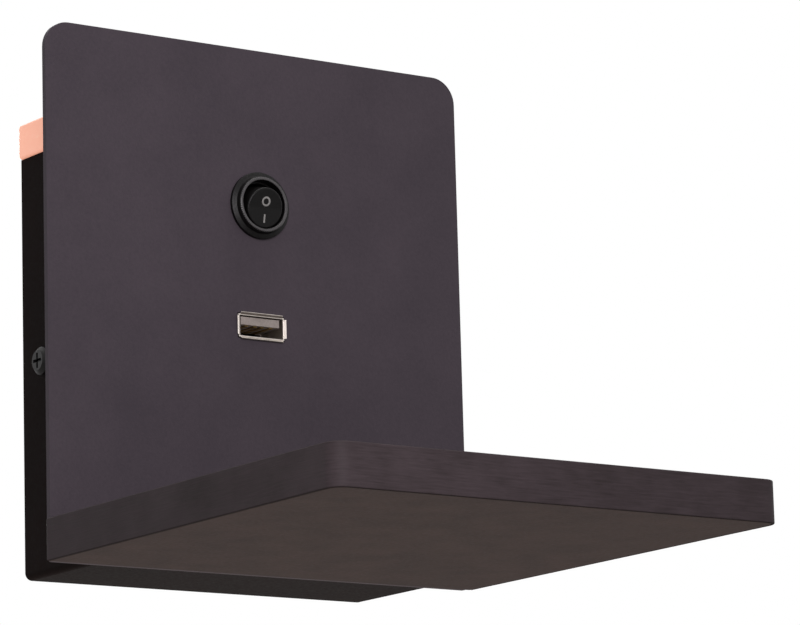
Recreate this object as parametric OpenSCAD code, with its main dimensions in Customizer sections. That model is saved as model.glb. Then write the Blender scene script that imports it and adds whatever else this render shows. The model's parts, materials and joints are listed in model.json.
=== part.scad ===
// Wall lamp with a shelf. A flat front panel stands on a shallow sheet-metal housing, an opal
// cover closes the top of the housing and lights the wall, and a board shelf sticks out from
// the foot of the panel. A rocker switch and a charging socket sit in the panel.
// X runs to the right, Y runs into the wall and Z runs up. The origin lies on the wall plane,
// midway between the two wall screws. All lengths are in millimetres.

/* [Front panel] */
// Width of the front panel
panel_w = 120; // [116:1:150]
// Height of the front panel, from the underside of the lamp
panel_h = 130.5; // [126:0.5:180]
// Thickness of the front panel
panel_t = 1.5; // [1:0.1:2.5]
// Radius of the panel's top corners
panel_r = 6.5; // [2:0.5:15]
// Radius of the panel's bottom corners
panel_foot_r = 1; // [0.5:0.25:3]

/* [Shelf] */
// How far the shelf sticks out from the panel
shelf_d = 119.5; // [80:0.5:180]
// Thickness of the shelf
shelf_t = 10; // [9:0.1:13]
// Radius of the shelf's two front corners
shelf_r = 4; // [2:0.5:12]
// How far the shelf stands out past the panel's side edges
shelf_over = 1.1; // [0:0.1:3]
// Thickness of the band glued round the shelf's edge
band_t = 0.8; // [0.4:0.1:1.5]

/* [Housing] */
// How far the housing is set in from the panel's side edges
housing_inset = 10.9; // [9:0.1:12]
// Height of the housing
housing_h = 103.5; // [102:0.5:118]
// Depth of the housing, from the wall to its front web
housing_d = 29; // [28:0.5:40]
// Thickness of the housing's steel sheet
sheet_t = 1.2; // [0.8:0.1:1.6]
// Outer radius of the housing's bottom bends
bend_r = 1.8; // [1.7:0.1:3]

/* [Light cover and light source] */
// Height of the opal cover above the housing
cover_h = 8.5; // [6:0.5:14]
// How far the opal cover stands out past the housing's sides
cover_lip = 0.8; // [0:0.1:1.2]
// Wall thickness of the opal cover
cover_t = 2; // [1.5:0.1:3]
// Length of the legs that clip the cover into the housing
cover_leg = 6; // [4:0.5:8]
// Number of light-emitting diodes
led_count = 12; // [6:1:12]
// Width of the diodes' circuit board
led_board_d = 12; // [8:0.5:14]
// Thickness of the aluminium angle that carries the diodes
heat_sheet_t = 1.5; // [1:0.1:2]

/* [Rocker switch] */
// Distance of the switch's centre below the top of the housing
switch_drop = 12.3; // [11.9:0.1:18]
// Diameter of the switch's bezel
bezel_d = 16.6; // [15.6:0.1:20]
// Height of the bezel in front of the panel
bezel_h = 2.6; // [2.2:0.1:3.6]
// Outer diameter of the bezel's crest
crest_d = 13.9; // [13.8:0.1:14.9]
// Width of the bezel's crest
crest_w = 0.9; // [0.8:0.05:0.95]
// Diameter of the barrel that passes through the panel
barrel_d = 13.4; // [13.3:0.1:13.8]
// Depth of the switch behind the panel's front face
barrel_l = 12.8; // [12.6:0.1:14]
// Diameter of the rocker
rocker_d = 10.2; // [9.4:0.1:10.2]
// Distance from the rocker's pivot to the middle of its face
rocker_rise = 4.2; // [4:0.1:5]
// Depth of the pivot behind the panel's front face
pivot_depth = 1.15; // [1:0.05:1.4]
// Tilt of the rocker at each end of its travel, in degrees
rocker_tilt = 14; // [8:1:14]
// Angle that each half of the rocker's face rises towards its end, in degrees
rocker_dish = 3; // [0:1:6]
// Radius of the rocker's pivot pins
pivot_r = 1; // [0.8:0.05:1]

/* [Charging socket] */
// Height of the socket's centre above the underside of the lamp
socket_up = 61; // [58:0.2:66]
// Width of the socket's metal shell
socket_w = 13.1; // [13:0.05:13.3]
// Height of the socket's metal shell
socket_h = 5.7; // [5.6:0.05:5.9]
// Depth of the shell behind the panel's front face
socket_l = 13.4; // [12.5:0.1:15]
// Thickness of the shell
shell_t = 0.3; // [0.2:0.02:0.35]
// How far the shell's lips flare out on each side
lip_w = 0.65; // [0.4:0.05:0.9]
// Width of the socket's circuit board
socket_board_w = 38; // [37:0.5:40]
// Depth of the socket's circuit board
socket_board_d = 17.3; // [16.5:0.1:18]

/* [Wall bracket] */
// Height of the wall bracket
bracket_h = 26; // [20:1:28]
// Thickness of the wall bracket's steel
bracket_t = 1.5; // [1.2:0.1:2]
// Distance between the two wall screws
wall_screw_gap = 60; // [52:1:72]
// Radius of the wall screw holes
wall_hole_r = 2.4; // [2:0.1:3]
// Height of the bracket's raised middle above the wall
bracket_rise = 3; // [2.5:0.1:4]
// Half the width of the bracket's raised middle
rise_half_w = 18; // [14:0.5:21]
// Depth of the bracket's side ears
ear_d = 16; // [15:0.5:17.5]
// Distance of the two side screws from the wall
side_screw_in = 10.4; // [9:0.1:11]
// Radius of the supply cable's hole in the grommet
grommet_bore_r = 3.5; // [3:0.1:4]

/* [Driver] */
// Height of the driver's case
driver_h = 22; // [21:0.5:24]
// Depth of the driver's tray
driver_tray_d = 11.5; // [11:0.5:13]
// Depth of the driver's lid
driver_lid_d = 5; // [4:0.5:6]
// Wall thickness of the driver's case
driver_wall = 1.4; // [1:0.1:2]

/* [Terminal block] */
// Distance from one pole of the terminal block to the next
pole_gap = 8; // [7.5:0.1:8.3]
// Height of the terminal block
block_h = 17; // [16:0.5:18]
// Depth of the terminal block
block_d = 12.5; // [12:0.5:14]

/* [Fasteners and wires] */
// Radius of the three-millimetre screws and studs
m3_r = 1.5; // [1.3:0.05:1.6]
// Radius of the four-millimetre screws
m4_r = 2; // [1.8:0.05:2.1]
// Radius of the shelf screws
shelf_screw_r = 1.75; // [1.5:0.05:2.1]
// Length of the shelf screws in the shelf
shelf_screw_l = 30; // [20:1:50]
// Radius of the mains wires
wire_r = 0.8; // [0.6:0.05:0.8]
// Radius of the thin wires
thin_wire_r = 0.55; // [0.4:0.05:0.55]

/* [Hidden] */
$fn = 48;
// Clearances: between flat parts, round a screw, round a turning pin, round a pushed-in part
slide_gap = 0.4;
hole_gap = 0.25;
thread_gap = 0.05;
pivot_gap = 0.05;
push_gap = 0.15;
// Gap between a screw's tip and the panel behind the web
tip_gap = 0.2;
eps = 0.01;

// Planes that the lamp is built on
base_z = -housing_h / 2;
top_z = housing_h / 2;
web_front = -housing_d;
web_back = web_front + sheet_t;
front_y = web_front - panel_t;
web_depth = panel_t + sheet_t;
housing_w = panel_w - 2 * housing_inset;
shelf_w = panel_w + 2 * shelf_over;
inner_x = housing_w / 2 - sheet_t;
switch_z = top_z - switch_drop;
socket_z = base_z + socket_up;
shelf_mid_z = base_z + shelf_t / 2;

// Fastener heads and nuts
m3_head_r = 2.8;
m3_head_h = 1.8;
m4_head_r = 3.4;
m4_head_h = 2.2;
shelf_head_r = 3.3;
shelf_head_h = 2.3;
m3_nut_af = 5.5;
m3_nut_h = 2.4;
stud_l = 8;
side_screw_l = 7;
// Studs and shelf screws: how far they stand in from the housing's sides, top and bottom
stud_in = 8;
stud_drop = 24.8;
stud_up = 39;
stud_x = inner_x - stud_in;
stud_z = [top_z - stud_drop, base_z + stud_up];
shelf_screw_in = 8.9;
shelf_screw_x = [shelf_screw_in - inner_x, 0, inner_x - shelf_screw_in];

// Diodes and the angle that carries them
heat_drop = 3.2;
heat_side_gap = 3.9;
heat_top_z = top_z - heat_drop;
heat_half_w = inner_x - heat_side_gap;
heat_d = 18;
heat_tab_in = 14;
heat_tab_x = heat_half_w - heat_tab_in;
heat_tab_w = 13;
heat_tab_h = 10.5;
led_board_t = 1.6;
led_board_in = 1.1;
led_board_gap = 3.8;
led_board_y = web_back + led_board_gap;
led_board_half_w = heat_half_w - led_board_in;
led_margin = 6.6;
led_pitch = 2 * (led_board_half_w - led_margin) / (led_count - 1);
led_screw_in = 2.2;
led_screw_y = led_board_y + led_board_d / 2;
led_wire_in = 0.6;
led_wire_edge = [3.4, 1.6];
led_wire_y = [led_board_y + led_wire_edge[0], led_board_y + led_board_d - led_wire_edge[1]];
led_size = [3.5, 2.8, 0.8];
led_top_z = heat_top_z + led_board_t;
cover_leg_t = 1.5;
cover_leg_w = 8;
cover_leg_y = [-21.5, -12];

// Switch
barrel_r = barrel_d / 2;
recess_r = crest_d / 2 - crest_w;
barrel_wall = 1.05;
cavity_r = barrel_r - barrel_wall;
rocker_gap = 0.2;
slot_x = rocker_d / 2 + rocker_gap;
slot_top = 0.2;
hook_t = 1.1;
hook_l = 3.5;
hook_w = 3;
bezel_edge_h = 0.9;
bezel_collar_w = 0.25;
bezel_collar_h = 1.3;
rocker_back = 1.35;
rocker_skin = 0.8;
rocker_face_t = 1.7;
bore_top = rocker_rise - rocker_face_t;
boss_t = 0.8;
rocker_flat = rocker_d / 2 - 0.05;
pin_l = 0.8;
pin_end = slot_x + pin_l;
plunger_r = 1.1;
plunger_tip = 5.85;
arm_depth = 7.65;
arm_l = 7.65;
arm_w = 3;
arm_t = 0.45;
arm_tilt = rocker_tilt / 2;
arm_hub_r = 0.45;
arm_contact_in = 0.9;
contact_r = 0.8;
contact_h = 0.3;
contact_gap = 0.1;
rest_w = 1;
rest_t = 0.6;
spring_wire_r = 0.15;
spring_turns = 4;
spring_steps = 10;
spring_gap = 0.12;
switch_plug_t = 1.95;
blade_w = 4;
blade_t = 0.7;
blade_out = 6.2;
common_y = -3;
output_y = 3.4;
crimp_l = 7;
crimp_h = 2.4;
crimp_gap = 1.1;

// Socket
socket_top = socket_h / 2;
tongue_w = 11.1;
tongue_t = 2;
tongue_low = 0.3;
tongue_back = 0.4;
insulator_l = 4;
contact_x = [-3.5, -1, 1, 3.5];
contact_w = 1;
contact_t = 0.2;
tail_t = 0.6;
lip_t = 0.3;
lip_turn = 45;
lip_corner = 0.5;
board_t = 1.6;
board_front_gap = 0.5;
board_start = web_depth + board_front_gap;
board_end = board_start + socket_board_d;
shell_leg_at = 10;
holder_t = 2;
holder_arm_in = 11;
holder_drop = 10.5;
holder_screw_x = 12.5;
board_screw_in = 2.8;
board_screw_back = 3.4;
board_screw_grip = 4;
board_screw_x = socket_board_w / 2 - board_screw_in;
board_screw_at = board_end - board_screw_back;
socket_wire_y = [-18, -14];
m2_r = 1;
m2_head_r = 1.9;
m2_head_h = 1.4;
holder_boss_r = 1.9;
holder_boss_h = 5;
holder_edge = 1;
holder_notch = 3;
shell_leg = [shell_t, board_t + 0.7, 1.8];
// Parts on the socket's board. A can is its distance from the shell, its radius and its height
socket_part_gap = 1.8;
socket_core = [9.6, 9.4, 9];
socket_core_inset = 1;
socket_flange_t = 2;
core_gap = 0.6;
socket_cans = [[4.6, 3, 11], [10, 2.2, 9]];
can_y = 4.8;
chip_size = [5, 4, 1.5];
chip_gap = 2.4;
chip_in = 6.2;

// Terminal block, set in from the housing's side
block_side_gap = 1.5;
block_up = 22;
block_end_t = 1;
block_w = 3 * pole_gap + 2 * block_end_t;
block_x = inner_x - block_side_gap - block_w / 2;
block_z = base_z + block_up;
pole_x = [block_x - pole_gap, block_x, block_x + pole_gap];
pole_back = 5;
pole_y = web_back + pole_back;
pole_bore_r = 1.5;
pole_tube = 4.2;
pole_end_gap = 2;
pole_tube_l = block_h - 2 * pole_end_gap;
clamp_screw_z = 4;
clamp_screw_r = 1.25;
clamp_head_r = 1.9;
clamp_head_h = 1.6;
clamp_reach = 1.65;
wire_in = 4;
block_fix_r = m3_r;
block_fix_head_r = 2.4;
block_seat_y = pole_y + pole_tube / 2 + slide_gap;

// Driver, between the housing's other side and the terminal block
driver_ear = 5.5;
driver_ear_t = 2;
driver_ear_h = 8;
driver_side_gap = 3.9;
driver_block_gap = 3.4;
driver_up = 22.5;
driver_left = driver_side_gap + driver_ear - inner_x;
driver_right = block_x - block_w / 2 - driver_block_gap - driver_ear;
driver_z = base_z + driver_up;
driver_board_t = 1.2;
driver_board_gap = 0.3;
driver_rib_h = 2.5;
driver_rib_t = 3;
driver_board_y = web_back + driver_wall + driver_rib_h;
// Parts in the driver. A can is its distance from the case's end, its height above the case's
// middle, its radius and its length
driver_core = [14, 13, 9];
driver_core_in = 12;
driver_core_inset = 1.5;
driver_flange_t = 2;
driver_left_cans = [[7.5, 4, 4, 9.5], [7.5, -5.5, 3, 8]];
driver_right_can = [6, 0, 4, 9];
lead_gap = 0.15;
lead_hole_r = wire_r + lead_gap;
lead_in = 3;
// Where the leads enter the driver's case: distance from the web, height from its middle
neutral_lead = [6.2, 5.5];
live_lead = [6.2, -5.5];
plus_lead = [5.9, 4];
minus_lead = [5.9, -2];

// Earth point, in from the housing's side
earth_in = 14.9;
earth_up = 64.5;
earth_x = inner_x - earth_in;
earth_z = base_z + earth_up;
ring_r = 3.8;
ring_t = 0.8;
washer_r = 4;
washer_t = 0.8;

// Grommet
grommet_wall = 2;
grommet_grip = 1.6;
grommet_groove_r = grommet_bore_r + grommet_wall;
grommet_flange_r = grommet_groove_r + grommet_grip;
grommet_flange_t = 1.7;

// ---------------------------------------------------------------- shared shapes

// Box between its lowest and its highest corner
module block(low, high) {
    translate(low) cube(high - low);
}

// Cylinder along Y from y0 to y1
module rod_y(x, z, r, y0, y1) {
    translate([x, y0, z]) rotate([-90, 0, 0]) cylinder(r = r, h = y1 - y0);
}

// Cylinder along X from x0 to x1
module rod_x(y, z, r, x0, x1) {
    translate([x0, y, z]) rotate([0, 90, 0]) cylinder(r = r, h = x1 - x0);
}

// Places children in a frame on the panel's front face: X right, Y up, Z out of the panel
module on_panel(x, z) {
    translate([x, front_y, z]) rotate([90, 0, 0]) children();
}

// Screw along Z with its head above the origin, its shank below and a cross recess on top
module cross_screw(r, len, head_r, head_h) {
    recess = head_r * 1.1;
    slot = head_r * 0.22;
    deep = head_h * 0.5;
    difference() {
        union() {
            cylinder(r = head_r, h = head_h * 0.55);
            translate([0, 0, head_h * 0.55 - eps])
                cylinder(r1 = head_r, r2 = head_r * 0.72, h = head_h * 0.45 + eps);
            translate([0, 0, -len]) cylinder(r = r, h = len + eps);
        }
        translate([-recess / 2, -slot / 2, head_h - deep]) cube([recess, slot, deep + 1]);
        translate([-slot / 2, -recess / 2, head_h - deep]) cube([slot, recess, deep + 1]);
    }
}

// Screw driven from inside the housing towards the panel, its head seated at seat_y
module web_screw(x, z, seat_y, r, len, head_r, head_h) {
    translate([x, seat_y, z]) rotate([-90, 0, 0]) cross_screw(r, len, head_r, head_h);
}

// Hexagon nut on a stud along Y, seated at y0
module hex_nut_y(x, z, y0, across, h, bore_r) {
    translate([x, y0, z]) rotate([-90, 0, 0]) difference() {
        cylinder(r = across / sqrt(3), h = h, $fn = 6);
        translate([0, 0, -1]) cylinder(r = bore_r, h = h + 2);
    }
}

// Flat outline with rounded bottom corners and a square top, standing on Y = 0
module foot_outline(w, h, r) {
    translate([-w / 2, r]) square([w, h - r]);
    translate([r - w / 2, 0]) square([w - 2 * r, h]);
    for (s = [-1, 1]) translate([s * (w / 2 - r), r]) circle(r = r);
}

// The same outline with rounded top corners too
module plate_outline(w, h, top_r, foot_r) {
    foot_outline(w, h - top_r, foot_r);
    translate([top_r - w / 2, foot_r]) square([w - 2 * top_r, h - foot_r]);
    for (s = [-1, 1]) translate([s * (w / 2 - top_r), h - top_r]) circle(r = top_r);
}

// Shelf outline: square at the panel, its two front corners rounded
module shelf_outline(w, d, r) {
    translate([-w / 2, r - d]) square([w, d - r]);
    translate([r - w / 2, -d]) square([w - 2 * r, d]);
    for (s = [-1, 1]) translate([s * (w / 2 - r), r - d]) circle(r = r);
}

// ---------------------------------------------------------------- wires

function unit(v) = v / norm(v);

// Point on the smooth curve through b and c, with a and d as its neighbours
function curve_point(a, b, c, d, t) =
    0.5 * (2 * b + (c - a) * t + (2 * a - 5 * b + 4 * c - d) * t * t
        + (3 * b - a - 3 * c + d) * t * t * t);

// Smooth route through the given points, with a number of steps from each to the next
function smooth_route(p, steps) = concat(
    [for (i = [0 : len(p) - 2], k = [0 : steps - 1])
        curve_point(p[max(i - 1, 0)], p[i], p[i + 1], p[min(i + 2, len(p) - 1)], k / steps)],
    [p[len(p) - 1]]);

// Side vectors of a tube, each turned as little as possible from the one before it
function side_vectors(dirs, i = 1, done = []) =
    let (first = unit(cross(dirs[0], abs(dirs[0][0]) < 0.8 ? [1, 0, 0] : [0, 1, 0])),
        list = len(done) == 0 ? [first] : done)
    i >= len(dirs) ? list
        : side_vectors(dirs, i + 1, concat(list,
            [unit(list[i - 1] - (list[i - 1] * dirs[i]) * dirs[i])]));

// Round tube of eight sides along points
module tube(p, r) {
    n = len(p);
    sides = 8;
    dirs = [for (i = [0 : n - 1]) unit(p[min(i + 1, n - 1)] - p[max(i - 1, 0)])];
    side = side_vectors(dirs);
    rings = [for (i = [0 : n - 1], k = [0 : sides - 1])
        p[i] + r * (cos(360 * k / sides) * side[i] + sin(360 * k / sides) * cross(dirs[i], side[i]))];
    walls = [for (i = [0 : n - 2], k = [0 : sides - 1])
        let (a = i * sides + k, b = i * sides + (k + 1) % sides)
        [[a, b, b + sides], [a, b + sides, a + sides]]];
    polyhedron(
        points = rings,
        faces = concat(
            [for (w = walls) w[0]], [for (w = walls) w[1]],
            [[for (k = [0 : sides - 1]) sides - 1 - k]],
            [[for (k = [0 : sides - 1]) (n - 1) * sides + k]]),
        convexity = 6);
}

// Wire along the smooth curve through its route's points
module wire(route, r) {
    tube(smooth_route(route, 3), r);
}

// ---------------------------------------------------------------- panel, shelf, housing

module socket_cutout(y0, y1) {
    gap = push_gap + 0.1;
    block([-socket_w / 2 - gap, y0, socket_z - socket_h / 2 - gap],
        [socket_w / 2 + gap, y1, socket_z + socket_h / 2 + gap]);
}

// Holes that the panel and the web share: switch, socket and shelf screws
module shared_front_holes(y0, y1) {
    rod_y(0, switch_z, barrel_r + push_gap, y0, y1);
    socket_cutout(y0, y1);
    for (x = shelf_screw_x) rod_y(x, shelf_mid_z, shelf_screw_r + hole_gap, y0, y1);
}

module front_panel() {
    color([0.28, 0.26, 0.28])
    difference() {
        translate([0, web_front, base_z]) rotate([90, 0, 0])
            linear_extrude(panel_t) plate_outline(panel_w, panel_h, panel_r, panel_foot_r);
        shared_front_holes(front_y - 1, web_front + 1);
    }
}

// Studs welded to the back of the panel
module panel_studs() {
    color([0.7, 0.7, 0.72])
    for (x = [-stud_x, stud_x], z = stud_z)
        rod_y(x, z, m3_r, web_front, web_front + stud_l);
}

module panel_nuts() {
    color([0.75, 0.75, 0.78])
    for (x = [-stud_x, stud_x], z = stud_z)
        hex_nut_y(x, z, web_back, m3_nut_af, m3_nut_h, m3_r + thread_gap);
}

module shelf_board() {
    color([0.22, 0.2, 0.2])
    difference() {
        translate([0, front_y, base_z]) linear_extrude(shelf_t)
            shelf_outline(shelf_w - 2 * band_t, shelf_d - band_t, shelf_r - band_t);
        for (x = shelf_screw_x)
            rod_y(x, shelf_mid_z, shelf_screw_r + thread_gap,
                front_y - shelf_screw_l - 1, front_y + 1);
    }
}

module shelf_edge_band() {
    color([0.16, 0.14, 0.14])
    translate([0, front_y, base_z]) linear_extrude(shelf_t) difference() {
        shelf_outline(shelf_w, shelf_d, shelf_r);
        translate([0, eps]) shelf_outline(shelf_w - 2 * band_t, shelf_d - band_t + eps,
            shelf_r - band_t);
    }
}

module shelf_screws() {
    color([0.78, 0.76, 0.6])
    for (x = shelf_screw_x)
        web_screw(x, shelf_mid_z, web_back, shelf_screw_r, web_depth + shelf_screw_l,
            shelf_head_r, shelf_head_h);
}

// Places of the screws that hold the inner parts on the web
led_fix = [[-heat_tab_x, heat_top_z - heat_tab_h / 2], [heat_tab_x, heat_top_z - heat_tab_h / 2]];
driver_fix = [[driver_left - driver_ear / 2, driver_z], [driver_right + driver_ear / 2, driver_z]];
holder_fix = [[-holder_screw_x, socket_z - socket_top - board_t - holder_drop / 2],
    [holder_screw_x, socket_z - socket_top - board_t - holder_drop / 2]];
block_fix = [[(pole_x[0] + pole_x[1]) / 2, block_z], [(pole_x[1] + pole_x[2]) / 2, block_z]];
earth_fix = [[earth_x, earth_z]];

module housing() {
    color([0.1, 0.09, 0.1])
    difference() {
        translate([0, 0, base_z]) rotate([90, 0, 0]) linear_extrude(housing_d)
            foot_outline(housing_w, housing_h, bend_r);
        translate([0, 1, base_z + sheet_t]) rotate([90, 0, 0]) linear_extrude(1 - web_back)
            foot_outline(2 * inner_x, housing_h, bend_r - sheet_t);
        shared_front_holes(web_front - 1, web_back + 1);
        for (x = [-stud_x, stud_x], z = stud_z)
            rod_y(x, z, m3_r + hole_gap, web_front - 1, web_back + 1);
        for (f = concat(led_fix, driver_fix, holder_fix, block_fix))
            rod_y(f[0], f[1], m3_r + thread_gap, web_front - 1, web_back + 1);
        for (f = earth_fix) rod_y(f[0], f[1], m4_r + thread_gap, web_front - 1, web_back + 1);
        for (s = [-1, 1])
            rod_x(-side_screw_in, 0, m4_r + hole_gap, s * housing_w / 2 - 2 * sheet_t,
                s * housing_w / 2 + 2 * sheet_t);
    }
}

// ---------------------------------------------------------------- wall bracket

bracket_half_w = inner_x - slide_gap;

module wall_bracket() {
    color([0.72, 0.72, 0.74])
    difference() {
        union() {
            for (s = [-1, 1]) {
                x0 = s > 0 ? rise_half_w : -bracket_half_w;
                block([x0, -bracket_t, -bracket_h / 2],
                    [x0 + bracket_half_w - rise_half_w, 0, bracket_h / 2]);
                xe = s > 0 ? bracket_half_w - bracket_t : -bracket_half_w;
                block([xe, -ear_d, -bracket_h / 2], [xe + bracket_t, 0, bracket_h / 2]);
                xs = s > 0 ? rise_half_w - bracket_t : -rise_half_w;
                block([xs, -bracket_rise - bracket_t, -bracket_h / 2],
                    [xs + bracket_t + eps, 0, bracket_h / 2]);
            }
            block([-rise_half_w, -bracket_rise - bracket_t, -bracket_h / 2],
                [rise_half_w, -bracket_rise, bracket_h / 2]);
        }
        for (s = [-1, 1]) {
            rod_y(s * wall_screw_gap / 2, 0, wall_hole_r, -bracket_t - 1, 1);
            rod_x(-side_screw_in, 0, m4_r + thread_gap, s * bracket_half_w - 2 * bracket_t,
                s * bracket_half_w + 2 * bracket_t);
        }
        rod_y(0, 0, grommet_groove_r, -bracket_rise - bracket_t - 1, 1);
    }
}

module cable_grommet() {
    front = -bracket_rise - bracket_t - grommet_flange_t;
    back = -bracket_rise + grommet_flange_t;
    color([0.12, 0.12, 0.12])
    translate([0, front, 0]) rotate([-90, 0, 0]) difference() {
        union() {
            cylinder(r = grommet_flange_r, h = grommet_flange_t);
            translate([0, 0, grommet_flange_t - eps])
                cylinder(r = grommet_groove_r, h = bracket_t + 2 * eps);
            translate([0, 0, grommet_flange_t + bracket_t])
                cylinder(r = grommet_flange_r, h = grommet_flange_t);
        }
        translate([0, 0, -1]) cylinder(r = grommet_bore_r, h = back - front + 2);
    }
}

// Screws that hold the housing on the bracket's ears, one on each side
module side_screws() {
    color([0.08, 0.08, 0.08])
    for (s = [-1, 1])
        translate([s * housing_w / 2, -side_screw_in, 0]) rotate([0, s * 90, 0])
            cross_screw(m4_r, side_screw_l, m4_head_r, m4_head_h);
}

// ---------------------------------------------------------------- light

module light_cover() {
    half_w = housing_w / 2 + cover_lip;
    color([0.95, 0.8, 0.72])
    union() {
        difference() {
            block([-half_w, web_front, top_z], [half_w, 0, top_z + cover_h]);
            block([cover_t - half_w, web_front + cover_t, top_z - 1],
                [half_w - cover_t, -cover_t, top_z + cover_h - cover_t]);
        }
        for (s = [-1, 1], y = cover_leg_y) {
            outer = inner_x - thread_gap;
            x0 = s > 0 ? outer - cover_leg_t : -outer;
            block([x0, y - cover_leg_w / 2, top_z - cover_leg],
                [x0 + cover_leg_t, y + cover_leg_w / 2, top_z + eps]);
        }
    }
}

// Folded aluminium angle on the web that carries the diodes and takes up their heat
module led_angle() {
    color([0.8, 0.81, 0.83])
    difference() {
        union() {
            block([-heat_half_w, web_back, heat_top_z - heat_sheet_t],
                [heat_half_w, web_back + heat_d, heat_top_z]);
            for (s = [-1, 1])
                block([s * heat_tab_x - heat_tab_w / 2, web_back, heat_top_z - heat_tab_h],
                    [s * heat_tab_x + heat_tab_w / 2, web_back + heat_sheet_t, heat_top_z - eps]);
        }
        for (f = led_fix)
            rod_y(f[0], f[1], m3_r + hole_gap, web_back - 1, web_back + heat_sheet_t + 1);
        for (s = [-1, 1])
            translate([s * (led_board_half_w - led_screw_in), led_screw_y,
                heat_top_z - 2 * heat_sheet_t])
                cylinder(r = m2_r + thread_gap, h = 3 * heat_sheet_t);
    }
}

module led_angle_screws() {
    color([0.75, 0.75, 0.78])
    for (f = led_fix)
        web_screw(f[0], f[1], web_back + heat_sheet_t, m3_r,
            heat_sheet_t + sheet_t - tip_gap, m3_head_r, m3_head_h);
}

module led_board() {
    color([0.93, 0.93, 0.9])
    difference() {
        block([-led_board_half_w, led_board_y, heat_top_z],
            [led_board_half_w, led_board_y + led_board_d, led_top_z]);
        for (s = [-1, 1])
            translate([s * (led_board_half_w - led_screw_in), led_screw_y, heat_top_z - 1])
                cylinder(r = m2_r + push_gap, h = led_board_t + 2);
    }
}

module led_board_screws() {
    color([0.75, 0.75, 0.78])
    for (s = [-1, 1])
        translate([s * (led_board_half_w - led_screw_in), led_screw_y, led_top_z])
            cross_screw(m2_r, led_board_t + heat_sheet_t, m2_head_r, m2_head_h);
}

module led_chips() {
    color([1, 0.9, 0.6])
    for (i = [0 : led_count - 1]) {
        x = (i - (led_count - 1) / 2) * led_pitch;
        translate([x - led_size[0] / 2, led_board_y + (led_board_d - led_size[1]) / 2, led_top_z])
            cube(led_size);
    }
}

// ---------------------------------------------------------------- rocker switch

// Bezel ring, seen as half a section: flange, collar, crest and recess
module bezel_section() {
    polygon([[recess_r, 0], [bezel_d / 2, 0], [bezel_d / 2, bezel_edge_h],
        [crest_d / 2 + bezel_collar_w, bezel_collar_h], [crest_d / 2, bezel_h - 0.2], [crest_d / 2 - 0.3, bezel_h],
        [recess_r + 0.2, bezel_h], [recess_r, bezel_h - 0.2]]);
}

module switch_body() {
    color([0.06, 0.06, 0.06])
    on_panel(0, switch_z) difference() {
        union() {
            rotate_extrude() bezel_section();
            translate([0, 0, -barrel_l]) cylinder(r = barrel_r, h = barrel_l + slot_top);
            for (s = [0, 180]) rotate([0, 0, s]) translate([barrel_r - 0.3, hook_w / 2, 0])
                rotate([90, 0, 0]) linear_extrude(hook_w)
                    polygon([[0, -web_depth - hook_l], [hook_t, -web_depth - thread_gap],
                        [0, -web_depth - thread_gap]]);
        }
        translate([0, 0, slot_top - eps]) cylinder(r = recess_r, h = bezel_h);
        intersection() {
            translate([0, 0, -barrel_l - 1]) cylinder(r = cavity_r, h = barrel_l + 2 + slot_top);
            translate([-slot_x, -barrel_r, -barrel_l - 1])
                cube([2 * slot_x, 2 * barrel_r, barrel_l + 2 + slot_top]);
        }
        translate([0, 0, -barrel_l - 1]) cylinder(r = cavity_r, h = switch_plug_t + 1);
        translate([-pin_end - 0.2, 0, -pivot_depth]) rotate([0, 90, 0])
            cylinder(r = pivot_r + pivot_gap, h = 2 * pin_end + 0.4);
    }
}

// The rocker about its own pivot, face up along Z, before it is tilted
module rocker_shape() {
    difference() {
        union() {
            intersection() {
                translate([0, 0, -rocker_back])
                    cylinder(r = rocker_d / 2, h = rocker_back + rocker_rise + 1);
                translate([-rocker_flat, -rocker_d / 2, -rocker_back])
                    cube([2 * rocker_flat, rocker_d, rocker_back + rocker_rise + 1]);
                rotate([0, -90, 0]) linear_extrude(2 * rocker_d, center = true)
                    polygon([[-rocker_back, -rocker_d], [rocker_rise + rocker_d * tan(rocker_dish), -rocker_d],
                        [rocker_rise, 0], [rocker_rise + rocker_d * tan(rocker_dish), rocker_d],
                        [-rocker_back, rocker_d]]);
            }
            rotate([0, 90, 0]) cylinder(r = pivot_r, h = 2 * pin_end, center = true);
        }
        difference() {
            translate([0, 0, -rocker_back - 1])
                cylinder(r = rocker_d / 2 - rocker_skin, h = rocker_back + 1 + bore_top);
            translate([0, 0, -rocker_back - 2])
                cylinder(r = plunger_r + pivot_gap + boss_t, h = rocker_back + 3 + bore_top);
        }
        translate([0, 0, -rocker_back - 1])
            cylinder(r = plunger_r + pivot_gap, h = rocker_back + 1 + bore_top);
    }
}

// Frame of the rocker's pivot, tilted to the pressed-on position
module at_rocker() {
    on_panel(0, switch_z) translate([0, 0, -pivot_depth]) rotate([rocker_tilt, 0, 0]) children();
}

module switch_rocker() {
    color([0.12, 0.12, 0.12])
    at_rocker() rocker_shape();
}

// Pin in the rocker's boss that drives the contact arm
module switch_plunger() {
    color([0.9, 0.9, 0.86])
    at_rocker() {
        translate([0, 0, -plunger_tip + plunger_r])
            cylinder(r = plunger_r, h = plunger_tip - plunger_r);
        translate([0, 0, -plunger_tip + plunger_r]) sphere(r = plunger_r);
    }
}

// Coil spring between the plunger and the end of its bore
module switch_spring() {
    coil_r = plunger_r - spring_gap - spring_wire_r;
    low = spring_wire_r + thread_gap;
    climb = bore_top - 2 * low;
    turns = [for (i = [0 : spring_turns * spring_steps]) i / spring_steps];
    color([0.8, 0.8, 0.82])
    at_rocker() tube([for (t = turns)
        [coil_r * cos(360 * t), coil_r * sin(360 * t), low + climb * t / spring_turns]],
        spring_wire_r);
}

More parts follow.
